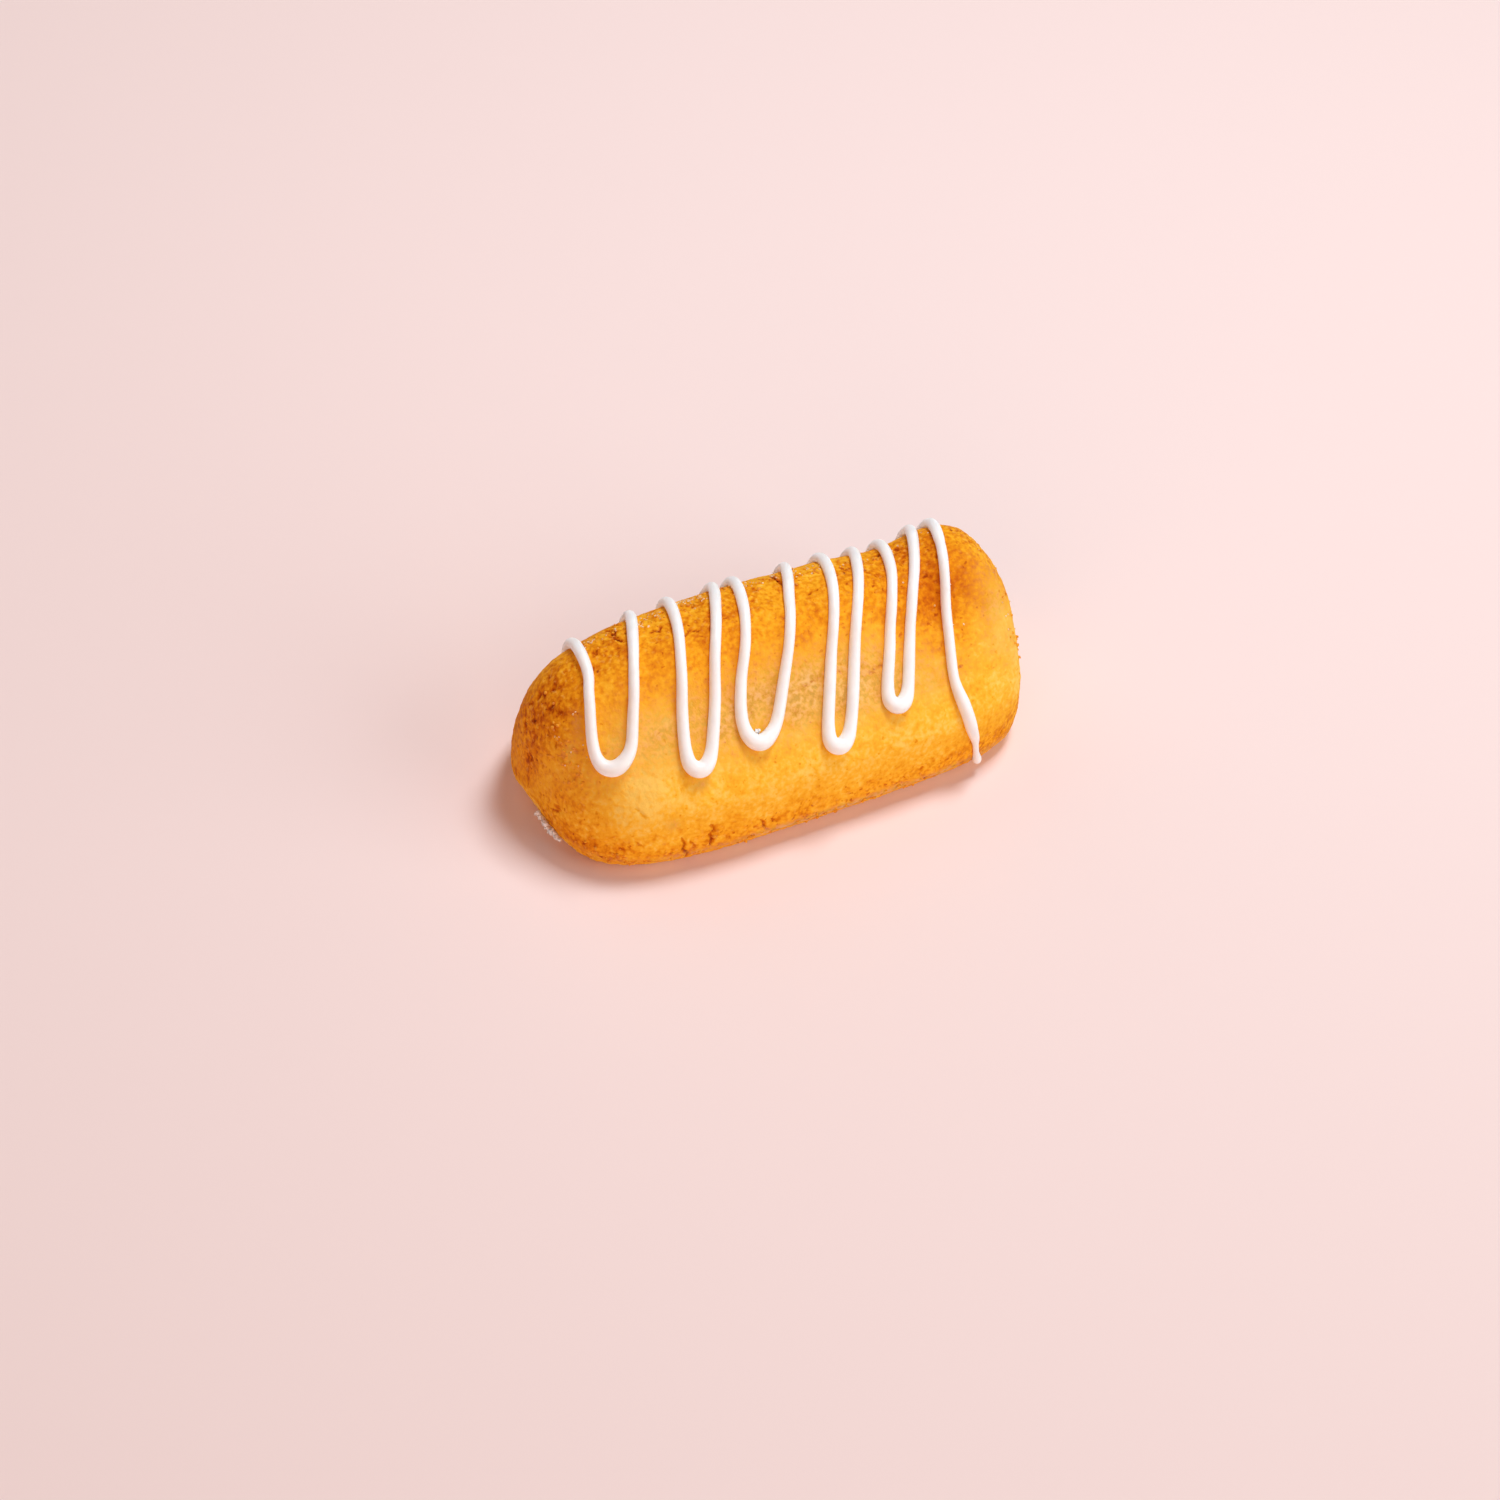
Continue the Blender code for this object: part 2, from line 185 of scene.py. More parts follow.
def cube_grid(cells):
    """A cube from -1 to 1 with its faces cut into this many cells along each axis."""
    mesh = bmesh.new()
    bmesh.ops.create_cube(mesh, size=2.0)
    for axis, count in enumerate(cells):
        along = [edge for edge in mesh.edges
                 if abs(edge.verts[0].co[axis] - edge.verts[1].co[axis]) > 1.0]
        bmesh.ops.subdivide_edges(mesh, edges=along, cuts=count - 1, use_grid_fill=True)
    return mesh


def place_on_bar(co):
    """Reach and run of each vertex of the cube grid, whose top's middle is the crest."""
    ring = np.maximum(np.maximum(np.abs(co[:, 1]), np.abs(co[:, 2])), 1e-9)
    across, up = co[:, 1] / ring, co[:, 2] / ring
    share = np.where(up > ON_FACE, np.abs(across) * TOP_SHARE,
                     np.where(up < -ON_FACE,
                              1.0 - np.abs(across) * (1.0 - TOP_SHARE - SIDE_SHARE),
                              TOP_SHARE + SIDE_SHARE * (1.0 - up) / 2))
    run = np.where(across > 0.0, -share * FAR_SECTION[0][-1], share * NEAR_SECTION[0][-1])
    end = np.sign(co[:, 0])
    power = plan_power(end, run)
    cap = np.abs(co[:, 0]) > ON_FACE
    reach = np.where(cap, end * superellipse(END_CAP_SCALE * np.minimum(ring, 1.0), power),
                     co[:, 0] * superellipse(END_CAP_SCALE, power))
    return reach, run


# Cracks where the crust split in the oven: points (x, run), width and depth, all in mm.
CRACKS = (
    (((-23.6, 33.0), (-23.0, 34.3), (-23.3, 35.4), (-22.2, 36.8), (-22.6, 38.2)), 0.32, 0.50),
    (((-22.3, 33.9), (-21.4, 35.2), (-21.6, 36.4)), 0.24, 0.24),
    (((-19.0, 31.6), (-18.5, 32.7), (-19.2, 33.6), (-18.6, 34.9), (-19.1, 35.8)), 0.30, 0.44),
    (((-10.9, 33.5), (-10.3, 34.5), (-9.9, 35.8)), 0.28, 0.34),
    (((-8.9, 34.2), (-8.2, 34.9)), 0.28, 0.28),
    (((-29.9, 25.8), (-29.0, 27.4)), 0.26, 0.18),
    (((-30.3, 32.2), (-29.3, 33.4)), 0.30, 0.26),
    (((-38.3, 25.8), (-38.1, 27.6), (-38.3, 29.2)), 0.28, 0.20),
    (((-33.9, -6.0), (-33.2, -4.6)), 0.28, 0.18),
    (((-36.9, -3.8), (-36.5, -2.6), (-36.6, -1.4)), 0.26, 0.18),
    (((-35.4, -4.6), (-35.0, -3.4)), 0.26, 0.12),
    (((-38.6, -6.4), (-38.8, -4.8)), 0.26, 0.16),
    (((-38.7, 0.4), (-38.5, 2.0)), 0.26, 0.16),
    (((-2.0, 15.3), (0.3, 14.9), (2.6, 14.3)), 0.28, 0.13),
    (((4.3, 13.3), (5.0, 14.1), (6.0, 14.7)), 0.30, 0.20),
    (((10.4, 16.0), (11.4, 15.5), (12.7, 15.4)), 0.30, 0.22),
    (((-15.9, 2.1), (-14.9, 1.5), (-13.5, 2.2)), 0.30, 0.22),
    (((4.9, 1.5), (5.6, 0.9), (6.4, 1.2)), 0.30, 0.22),
    (((2.0, -4.5), (2.2, -2.5), (2.8, -0.6)), 0.50, 0.50),
    (((-25.0, -5.6), (-24.5, -4.3), (-25.0, -2.6), (-24.6, -1.2)), 0.45, 0.50),
    (((-19.6, -0.8), (-18.9, -0.2), (-18.3, -0.9)), 0.30, 0.28),
    (((12.1, -2.4), (12.9, -1.7), (13.6, -2.1)), 0.30, 0.26),
)
CRACK_WANDER = 0.00022
CRACK_WANDER_LUMP = 0.0009


def crack_depth(x, run):
    """Depth of the cracks in metres; their walls wander by a few tenths of a millimetre."""
    places = np.stack([x, run, np.zeros_like(x)], -1)
    x = (x + CRACK_WANDER * noise_field(places, CRACK_WANDER_LUMP, 3.1)) * 1000
    run = (run + CRACK_WANDER * noise_field(places, CRACK_WANDER_LUMP, 7.7)) * 1000
    depth = np.zeros_like(x)
    for points, width, deep in CRACKS:
        for start, stop in zip(np.array(points), np.array(points)[1:]):
            step = stop - start
            share = np.clip(((x - start[0]) * step[0] + (run - start[1]) * step[1])
                            / (step @ step), 0.0, 1.0)
            away = np.hypot(x - start[0] - share * step[0], run - start[1] - share * step[1])
            depth = np.maximum(depth, deep * 0.001 * (1.0 - smoothstep(away / width)))
    return depth


def clods(points, size, seed):
    """Rounded clods of about this size with creases between them, from -0.5 to 0.5."""
    return np.array([0.5 - min(1.0, noise.voronoi(Vector(point))[0][0])
                     for point in points / size + seed])


def patches(points, table, level=0.0):
    """A level with patches of noise on it, each given by its strength, size and seed."""
    return sum((strength * noise_field(points, size, seed)
                for strength, size, seed in table), level)


# How coarse the crumb is, from 0 to 1. It is fine on the flanks, and coarser by the first
# figure round a run near the crest, past an x towards each end and past a run at the heel.
# The second figure is that place and the third how far the change reaches.
FLANK_COARSENESS = 0.12
CREST_COARSENESS = (0.75, -0.0022, 0.0046)
LEFT_END_COARSENESS = (0.50, -0.0295, 0.0080)
RIGHT_END_COARSENESS = (0.45, 0.0310, 0.0070)
HEEL_COARSENESS = (0.68, 0.0300, 0.0060)
COARSE_PATCHES = ((0.6, 0.0040, 11.3),)
COARSE_LEVEL = 0.80          # the patches' middle, as a share of the coarseness
# Relief of the crumb: the size of its lumps, and their height where it is fine and how much
# more they have where it is coarse.
SWELL_SIZE, SWELL_HEIGHT = 0.0023, 0.00007
CLOD_SIZE, CLOD_HEIGHTS = 0.00115, (0.00002, 0.00020)
MEAL_SIZE, MEAL_HEIGHTS = 0.00070, (0.00003, 0.00007)
PIT_SIZE, PIT_DEPTHS = 0.0013, (0.00003, 0.00021)
# Pits open where the noise passes a level, which is lower in coarse crumb.
PIT_LEVEL = 0.46
PIT_COARSE_DROP = 0.14
PIT_WALL = 0.16
# Pits and cracks are darkened with painted shade, by their depth.
CRACK_SHADE = 1.6         # a crack darkens the crust this many times as much as a pit
FULL_HOLLOW_SHADE = 0.0003         # the depth at which a hollow is fully dark
UNDERSIDE_HEIGHT = 0.0008    # below half of this the relief only goes inwards
TIP_SHARE = 0.05             # nearer the tips than this, the normals lie along the bar


def by_coarseness(coarse, heights):
    """The height where the crumb is this coarse."""
    return heights[0] + heights[1] * coarse


def crumb(points, x, run):
    """How far the crust's crumb stands out, how coarse it is, and how deep its pits are."""
    crest, crest_run, crest_reach = CREST_COARSENESS
    left, left_x, left_reach = LEFT_END_COARSENESS
    right, right_x, right_reach = RIGHT_END_COARSENESS
    heel, heel_run, heel_reach = HEEL_COARSENESS
    coarse = (FLANK_COARSENESS + crest * np.exp(-((run - crest_run) / crest_reach) ** 2)
              + left * smoothstep((left_x - x) / left_reach)
              + right * smoothstep((x - right_x) / right_reach)
              + heel * smoothstep((np.abs(run) - heel_run) / heel_reach))
    coarse = np.clip(coarse * patches(points, COARSE_PATCHES, COARSE_LEVEL), 0.0, 1.0)
    swell = SWELL_HEIGHT * noise_field(points, SWELL_SIZE, 1.7)
    lumps = by_coarseness(coarse, CLOD_HEIGHTS) * clods(points, CLOD_SIZE, 5.3)
    meal = by_coarseness(coarse, MEAL_HEIGHTS) * noise_field(points, MEAL_SIZE, 9.1)
    hollow = noise_field(points, PIT_SIZE, 21.7)
    pits = (smoothstep((hollow - PIT_LEVEL + PIT_COARSE_DROP * coarse) / PIT_WALL)
            * by_coarseness(coarse, PIT_DEPTHS))
    return swell + lumps + meal - pits, coarse, pits


def add_layer(data, name, values):
    """Stores one value for each vertex, which the crust's material reads."""
    layer = data.attributes.new(name, "FLOAT", "POINT")
    layer.data.foreach_set("value", np.asarray(values, np.float32))


def baked_bar():
    """The bar as a closed mesh with its crumb, and the points and runs of its vertices."""
    mesh = cube_grid(BODY_CELLS)
    bmesh.ops.recalc_face_normals(mesh, faces=mesh.faces)
    data = bpy.data.meshes.new("baked_bar")
    mesh.to_mesh(data)
    mesh.free()
    co = np.empty(len(data.vertices) * 3, np.float32)
    data.vertices.foreach_get("co", co)
    reach, run = place_on_bar(co.reshape(-1, 3).astype(float))
    points = crust(reach, run)
    normals = outward(reach, run)
    tip = superellipse(reach, 2.0) < TIP_SHARE
    normals[tip] = np.sign(reach[tip])[:, None] * np.array([1.0, 0.0, 0.0])
    stand_out, coarse, pits = crumb(points, points[:, 0], run)
    cracks = crack_depth(points[:, 0], run)
    height = stand_out - cracks
    underside = smoothstep(points[:, 2] / UNDERSIDE_HEIGHT) < 0.5
    height = np.where(underside, -np.abs(height), height)
    points = points + height[:, None] * normals
    points[:, 2] = np.maximum(points[:, 2], 0.0)
    data.vertices.foreach_set("co", points.astype(np.float32).ravel())
    add_layer(data, "coarse", coarse)
    # Painted shade in the pits and cracks, by their depth.
    add_layer(data, "hollow", np.clip((pits + CRACK_SHADE * cracks) / FULL_HOLLOW_SHADE, 0.0, 1.0))
    data.shade_smooth()
    return data, points, run


bar_mesh, bar_points, bar_run = baked_bar()


# How brown the crust is across the middle of the bar, by the run in mm. It turns paler
# again at the foot of each heel: painted light thrown up from the floor onto the lip.
BROWN_RUNS = (-39, -37, -34, -30, -24, -14, -6, 1, 4, 7,
              10, 13, 19, 25, 28, 31, 34, 36.5, 38, 39)
BROWN_AND_SHADING_LEVELS = (0.22, 0.34, 0.44, 0.37, 0.31, 0.35, 0.43, 0.50, 0.48, 0.43, 0.37, 0.29, 0.27,
                0.24, 0.21, 0.27, 0.38, 0.43, 0.34, 0.22)
# Where it is browner, or paler: (x, run, reach along x, reach along the run), all in mm,
# and by how much. The first two are painted shade in the finger dent, and the paler one at
# x 37.5 is painted light where the right end faces the window light.
BROWN_AND_SHADING_SPOTS = ((18.5, 6.5, 4.0, 8.0, 0.12), (25.0, 7.5, 4.0, 8.5, 0.24),
               (12.5, 5.0, 3.5, 7.0, 0.02), (5.0, -1.0, 12.0, 6.0, -0.08),
               (37.5, 16.0, 5.0, 18.0, -0.10), (30.8, 9.0, 2.6, 6.0, 0.08),
               (36.0, 0.0, 4.0, 5.0, -0.02), (-39.2, -19.0, 3.2, 16.0, 0.20),
               (-38.2, 0.0, 2.6, 8.0, 0.05), (-38.5, 27.0, 6.0, 12.0, 0.15),
               (2.5, -3.0, 1.1, 3.0, 0.12), (-9.5, 3.0, 3.5, 5.0, 0.03),
               (-29.0, -3.0, 4.0, 4.0, 0.03), (-29.0, 23.5, 5.0, 5.0, -0.20),
               (34.0, 32.0, 6.0, 5.0, 0.11), (-27.0, 8.0, 3.0, 6.0, -0.04))
BROWN_PATCHES = ((0.05, 0.0090, 31.0), (0.07, 0.0030, 37.0))
# Where a pale bloom lies, in the same form: partly a film of flour and sugar, and partly
# painted sheen of the soft light on the flanks and the right end. The band along the heel
# at a run of 36.8 mm is painted light thrown up from the floor onto its lip.
BLOOM_AND_SHEEN_SPOTS = ((-12.0, 15.5, 17.0, 5.5, 0.46), (8.0, 17.0, 10.0, 5.5, 0.42),
               (20.0, 19.5, 6.0, 3.0, 0.22), (34.0, 14.0, 4.0, 9.0, 0.30),
               (-30.0, 17.0, 5.0, 8.0, 0.12), (-34.6, 8.0, 0.7, 2.2, 0.30),
               (-36.2, 11.0, 0.8, 1.6, 0.26), (-20.0, 24.2, 1.0, 0.9, 0.34),
               (-24.9, 29.8, 1.0, 0.9, 0.30), (4.0, 36.8, 30.0, 0.8, 0.60),
               (-14.0, -22.0, 15.0, 5.0, 0.22), (18.0, -18.0, 9.0, 5.0, 0.22))
BLOOM_AND_SHEEN_PATCHES = ((0.5, 0.0060, 43.0), (0.3, 0.0020, 47.0))
FLANKS_MEET = 0.0035         # how far from the middle each flank takes up the other's look


def joined(values, points, run):
    """What `values` gives by the run, evened out where the two flanks meet."""
    share = 0.5 * np.exp(-(points[:, 1] / FLANKS_MEET) ** 2)
    return (1.0 - share) * values(run) + share * values(-run)


def spots(table, x, run):
    """Sum of soft round spots, each given in mm."""
    return sum(high * np.exp(-((1000 * x - at) / wide) ** 2 - ((1000 * run - down) / tall) ** 2)
               for at, down, wide, tall, high in table)


def browning_and_shading(points, run):
    """0 where the crust stayed pale, 1 where it baked to a deep brown. It also holds painted
    shade in the finger dent and painted light at the right end and the heel.
    """
    brown_and_shading = joined(lambda down: np.interp(1000 * down, BROWN_RUNS, BROWN_AND_SHADING_LEVELS)
                   + spots(BROWN_AND_SHADING_SPOTS, points[:, 0], down), points, run)
    return np.clip(brown_and_shading + patches(points, BROWN_PATCHES), 0.0, 1.0)


def bloom_and_sheen(points, run):
    """How much of the pale bloom, with its painted sheen and painted light, lies on the crust.
    """
    film_and_sheen = joined(lambda down: spots(BLOOM_AND_SHEEN_SPOTS, points[:, 0], down), points, run)
    return np.clip(patches(points, BLOOM_AND_SHEEN_PATCHES, 1.0) * film_and_sheen, 0.0, 1.0)


# Brownness, with painted shade in the finger dent and painted light at the right end and heel.
add_layer(bar_mesh, "browning_and_shading", browning_and_shading(bar_points, bar_run))
# The pale bloom, with painted sheen on the flanks and painted light from the floor on the heel.
add_layer(bar_mesh, "bloom_and_sheen", bloom_and_sheen(bar_points, bar_run))


def srgb(code):
    """Linear RGBA of an sRGB hex colour."""
    shares = [int(code[at:at + 2], 16) / 255 for at in (1, 3, 5)]
    return (*(c / 12.92 if c <= 0.04045 else ((c + 0.055) / 1.055) ** 2.4 for c in shares), 1.0)


def add_node(tree, kind, settings=None, sockets=None):
    """Adds a node, sets its properties, and sets or links its input sockets."""
    node = tree.nodes.new(kind)
    for name, value in (settings or {}).items():
        setattr(node, name, value)
    for name, value in (sockets or {}).items():
        if isinstance(value, bpy.types.NodeSocket):
            tree.links.new(value, node.inputs[name])
        else:
            node.inputs[name].default_value = value
    return node


def colour_stops(ramp, stops):
    """Sets a colour ramp's stops, each a position and an sRGB hex colour."""
    while len(ramp.elements) < len(stops):
        ramp.elements.new(0.5)
    for element, (position, code) in zip(ramp.elements, stops):
        element.position = position
        element.color = srgb(code)


# The crust's finish. A pattern's size is that of its light and dark grains, in metres:
# almond meal is ground to 0.3 to 1 mm, and skin, scorched crumb and sugar are as fine.
MOTTLE_SIZE = 0.0010
MEAL_GRAIN_SIZE = 0.00036
FLECK_SIZE, FLECK_LEVELS = 0.00042, (0.68, 0.76)
SPECK_SIZE, SPECK_LEVELS = 0.00030, (0.66, 0.72)
# How much each darkens or lightens the crust, and how much more it does on coarse crumb.
MOTTLE_DEPTH = 0.30
# The next is the painted shade in pits and cracks.
HOLLOW_SHADE_DEPTH = 0.28
MEAL_GRAIN_DEPTH = (0.50, 0.46)
FLECK_DEPTH = (0.16, 0.22)
SPECK_SHARE = (0.06, 0.22)
# Colours by how brown the crust is, painted shade and light included, and of the bloom and
# its painted sheen by its grain.
CRUST_COLOURS = ((0.08, "#FDCC5E"), (0.25, "#FBB830"), (0.40, "#F3A31C"), (0.52, "#E48A0F"),
                 (0.66, "#D06C08"), (0.80, "#B04A04"), (1.0, "#6A2803"))
BLOOM_AND_SHEEN_COLOURS = ((0.38, "#A07444"), (0.50, "#CD9F68"), (0.64, "#E2C290"))
SPECK_COLOUR = "#FFC868"


def baked_crust():
    """Baked almond paste: matte and finely granular, golden to deep brown where it caught
    the heat, with brown flecks, lighter sugar specks and a pale bloom. Painted shade darkens
    its pits, cracks and finger dent, and painted sheen and light pale its flanks and heel."""
    material = bpy.data.materials.new("baked_almond_crust")
    material.use_nodes = True
    tree = material.node_tree
    place = add_node(tree, "ShaderNodeTexCoord").outputs["Object"]
    brown_and_shading, coarse, hollow, pale = (
        add_node(tree, "ShaderNodeAttribute", {"attribute_name": name}).outputs["Fac"]
        for name in ("browning_and_shading", "coarse", "hollow", "bloom_and_sheen"))

    def noise_at(size, detail, shift):
        """Noise of 0 to 1 whose light and dark grains are about this many metres across.
        `shift` moves it, so that no two patterns fall together."""
        moved = add_node(tree, "ShaderNodeVectorMath", {"operation": "ADD"},
                         {0: place, 1: (shift, shift, shift)}).outputs[0]
        return add_node(tree, "ShaderNodeTexNoise", None,
                        {"Vector": moved, "Scale": 0.5 / size, "Detail": detail}).outputs["Fac"]

    def maths(operation, first, second, third=0.0):
        return add_node(tree, "ShaderNodeMath", {"operation": operation},
                        {0: first, 1: second, 2: third}).outputs[0]

    def band(value, low, high):
        """0 below low, 1 above high."""
        return add_node(tree, "ShaderNodeMapRange", None,
                        {"Value": value, "From Min": low, "From Max": high}).outputs["Result"]

    def deeper_where_coarse(depths):
        return maths("MULTIPLY_ADD", coarse, depths[1], depths[0])

    # Mottling and grain of the almond meal, which show more where the crumb is coarse.
    mottle = noise_at(MOTTLE_SIZE, 2.0, 0.0)
    grain = noise_at(MEAL_GRAIN_SIZE, 2.0, 0.11)
    level = maths("MULTIPLY_ADD", mottle, MOTTLE_DEPTH,
                  maths("SUBTRACT", brown_and_shading, MOTTLE_DEPTH / 2))
    level = maths("MULTIPLY_ADD", maths("SUBTRACT", grain, 0.5),
                  deeper_where_coarse(MEAL_GRAIN_DEPTH), level)
    # Brown flecks are bits of almond skin and scorched crumb.
    flecks = band(noise_at(FLECK_SIZE, 1.0, 0.23), *FLECK_LEVELS)
    level = maths("MULTIPLY_ADD", flecks, deeper_where_coarse(FLECK_DEPTH), level)
    # Pits and cracks are darker: painted shade in them, fuller where they are deeper.
    level = maths("MULTIPLY_ADD", hollow, HOLLOW_SHADE_DEPTH, level)
    ramp = add_node(tree, "ShaderNodeValToRGB", None, {"Fac": level})
    colour_stops(ramp.color_ramp, CRUST_COLOURS)
    # The bloom is partly a thin film of flour and sugar, dotted with grey-brown almond meal,
    # and partly painted sheen and painted light from the floor.
    film_and_sheen = add_node(tree, "ShaderNodeValToRGB", None, {"Fac": grain})
    colour_stops(film_and_sheen.color_ramp, BLOOM_AND_SHEEN_COLOURS)
    with_bloom_and_sheen = add_node(tree, "ShaderNodeMix", {"data_type": "RGBA"},
                       {"Factor": pale, "A": ramp.outputs["Color"], "B": film_and_sheen.outputs["Color"]})
    # Undissolved sugar shows as lighter specks.
    specks = maths("MULTIPLY", band(noise_at(SPECK_SIZE, 0.0, 0.37), *SPECK_LEVELS),
                   deeper_where_coarse(SPECK_SHARE))
    speckled = add_node(tree, "ShaderNodeMix", {"data_type": "RGBA"},
                        {"Factor": specks, "A": with_bloom_and_sheen.outputs["Result"],
                         "B": srgb(SPECK_COLOUR)})
    shader = tree.nodes["Principled BSDF"]
    tree.links.new(speckled.outputs["Result"], shader.inputs["Base Color"])
    rough = add_node(tree, "ShaderNodeMapRange", None,
                     {"Value": grain, "From Min": 0.3, "From Max": 0.7,
                      "To Min": 0.78, "To Max": 0.60}).outputs["Result"]
    tree.links.new(rough, shader.inputs["Roughness"])
    shader.inputs["Specular IOR Level"].default_value = 0.05
    bump = add_node(tree, "ShaderNodeBump", None,
                    {"Height": grain, "Strength": 0.9, "Distance": 0.00016}).outputs["Normal"]
    tree.links.new(bump, shader.inputs["Normal"])
    return material


bar_mesh.materials.append(baked_crust())
bar = bpy.data.objects.new("baked_bar", bar_mesh)
bpy.context.scene.collection.objects.link(bar)
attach(bar, "root")
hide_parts(NODE)


# ---- Icing thread ----------------------------------------------------------
# Royal icing, egg white beaten with icing sugar, piped from a bag in one thread to and
# fro over the bar. It is soft when it lands, so its turns slump into plump drops.
THREAD_RADIUS = 0.00094
THREAD_LIFT = 0.00045        # how far its centre lies above the crust, as it sank in
THREAD_STEP = 0.0005
TURN_SWELL = 0.36            # how much fatter it is where it turns
SWELL_REACH = 0.0026
END_TAPER = (0.35, 0.62, 0.82, 0.94)     # its radius towards both ends, as shares
# It was stretched on the upper flank: its radius there by the run, as a share.
STRETCH_RUNS = (-0.002, 0.004, 0.009, 0.016)
STRETCH_SHARES = (0.95, 0.88, 0.90, 1.0)
THREAD_WOBBLE = ((0.035, 0.0045, 2.3),)
# Passes over the bar: x on the crest, at two places down the near flank and at its foot.
PASSES = ((-0.0307, -0.0322, -0.0334, -0.0338), (-0.0232, -0.0255, -0.0272, -0.0287),
          (-0.0161, -0.0184, -0.0199, -0.0212), (-0.0098, -0.0130, -0.0148, -0.0172),
          (-0.0054, -0.0077, -0.0101, -0.0116), (0.0023, -0.0005, -0.0031, -0.0060),
          (0.0094, 0.0064, 0.0040, 0.0015), (0.0139, 0.0102, 0.0078, 0.0050),
          (0.0196, 0.0168, 0.0148, 0.0126), (0.0237, 0.0202, 0.0180, 0.0158),
          (0.0279, 0.0260, 0.0249, 0.0239))
# Near loops: (x, run) of the lowest point of each. The loop's left side is this far
# from it, and its right side this share of the way out to the right leg's foot. The two
# sides and the feet of its legs lie higher than the lowest point by the rises.
NEAR_TURNS = ((-0.03175, 0.01815), (-0.01985, 0.02220), (-0.00970, 0.02100),
              (0.00240, 0.02515), (0.01345, 0.02210))
TURN_LEFT = -0.0014
TURN_RIGHT_SHARE = 0.55
TURN_RISE = 0.0010
LEFT_FOOT_RISE = 0.0040
RIGHT_FOOT_RISE = 0.0029
# Far loops: how far down each comes, its narrowest and widest half, and its lean.
FAR_REACHES = (0.0195, 0.0212, 0.0188, 0.0206, 0.0180)
FAR_HALF_WIDTHS = (0.0014, 0.0027)
FAR_SLANT = 0.10
# Just over the crest each pass has moved on this far, going away and coming back.
OVER_CREST = 0.0075
OUTWARD_DRIFT = 0.0031
INWARD_DRIFT = 0.0020
FIRST_BLOB = (-0.0281, -0.0165)
LAST_PASS_FATNESS = 0.86
# The loose end runs on down to the heel of the bar: (x, run, radius as a share).
LOOSE_END = ((0.0234, 0.0211, 0.86), (0.0239, 0.0247, 1.10), (0.0248, 0.0290, 1.04),
             (0.0256, 0.0314, 0.84), (0.0261, 0.0331, 0.56), (0.0265, 0.0353, 0.54),
             (0.0271, 0.0372, 0.90), (0.0274, 0.0380, 0.98))
THREAD_BEVEL = 6
THREAD_VOXEL = 0.00022
THREAD_SETTLING = 4          # how often each point is drawn in between its neighbours
SKIN_SMOOTHING = 4
FEWEST_STEPS = 3


def near_leg(index):
    """Waypoints (x, run) of one pass on the near flank, from the crest to its foot."""
    if index // 2 == len(NEAR_TURNS):
        length = LOOSE_END[0][1] - LEFT_FOOT_RISE
    else:
        rise = RIGHT_FOOT_RISE if index % 2 else LEFT_FOOT_RISE
        length = NEAR_TURNS[index // 2][1] - rise
    return list(zip(PASSES[index], np.linspace(0.0, length, len(PASSES[index]))))


def near_turn(index):
    """Waypoints round the bottom of one near loop."""
    x, run = NEAR_TURNS[index]
    right = x + TURN_RIGHT_SHARE * (PASSES[2 * index + 1][-1] - x)
    return [(x + TURN_LEFT, run - TURN_RISE), (x, run), (right, run - TURN_RISE)]


def far_loop(index):
    """Waypoints of the far loop between this pass and the next."""
    start = PASSES[index][0] + OUTWARD_DRIFT
    end = PASSES[index + 1][0] + INWARD_DRIFT
    reach = FAR_REACHES[index // 2]
    middle = (start + end) / 2 + FAR_SLANT * (reach - OVER_CREST)
    half = np.clip((end - start) / 2, *FAR_HALF_WIDTHS)
    return [(start, -OVER_CREST), (middle - half, half - reach), (middle, -reach),
            (middle + half, half - reach), (end, -OVER_CREST)]


def thread_route():
    """Waypoints of the whole thread, in the order in which it was piped."""
    route = [FIRST_BLOB]
    for index in range(len(PASSES)):
        if index % 2:
            route += near_leg(index)[::-1] + far_loop(index)
        elif index // 2 < len(NEAR_TURNS):
            route += near_leg(index) + near_turn(index // 2)
        else:
            route += near_leg(index)
    return route + [(x, run) for x, run, _ in LOOSE_END]


def smooth_curve(points, step):
    """Samples of the Catmull-Rom curve through 2-D points, about `step` apart."""
    points = np.array(points)
    padded = np.vstack([2 * points[0] - points[1], points, 2 * points[-1] - points[-2]])
    samples = []
    for before, start, end, after in zip(padded, padded[1:], padded[2:], padded[3:]):
        count = max(FEWEST_STEPS, round(np.linalg.norm(end - start) / step))
        for t in np.arange(count) / count:
            samples.append(start + 0.5 * t * (end - before)
                           + t ** 2 * (before - 2.5 * start + 2 * end - 0.5 * after)
                           + t ** 3 * 0.5 * (3 * start - before - 3 * end + after))
    return np.array(samples + [points[-1]])


def thread_fatness(x, run):
    """The thread's radius along its length, as a share of its usual one: it is thinner
    on the upper flank, where it was stretched, and on its last pass."""
    swell = sum(np.exp(-((x - at) ** 2 + (run - down) ** 2) / SWELL_REACH ** 2)
                for at, down in NEAR_TURNS)
    _, runs, shares = zip(*LOOSE_END)
    loose = (x > PASSES[-1][-1] - THREAD_RADIUS) & (run > runs[0])
    usual = np.interp(run, STRETCH_RUNS, STRETCH_SHARES)
    last_from = np.hypot(x - PASSES[-1][0], run).argmin()
    usual[last_from:] = LAST_PASS_FATNESS
    wobble = patches(np.stack([x, run, np.zeros_like(x)], -1), THREAD_WOBBLE, 1.0)
    return np.where(loose, np.interp(run, runs, shares), (usual + TURN_SWELL * swell) * wobble)


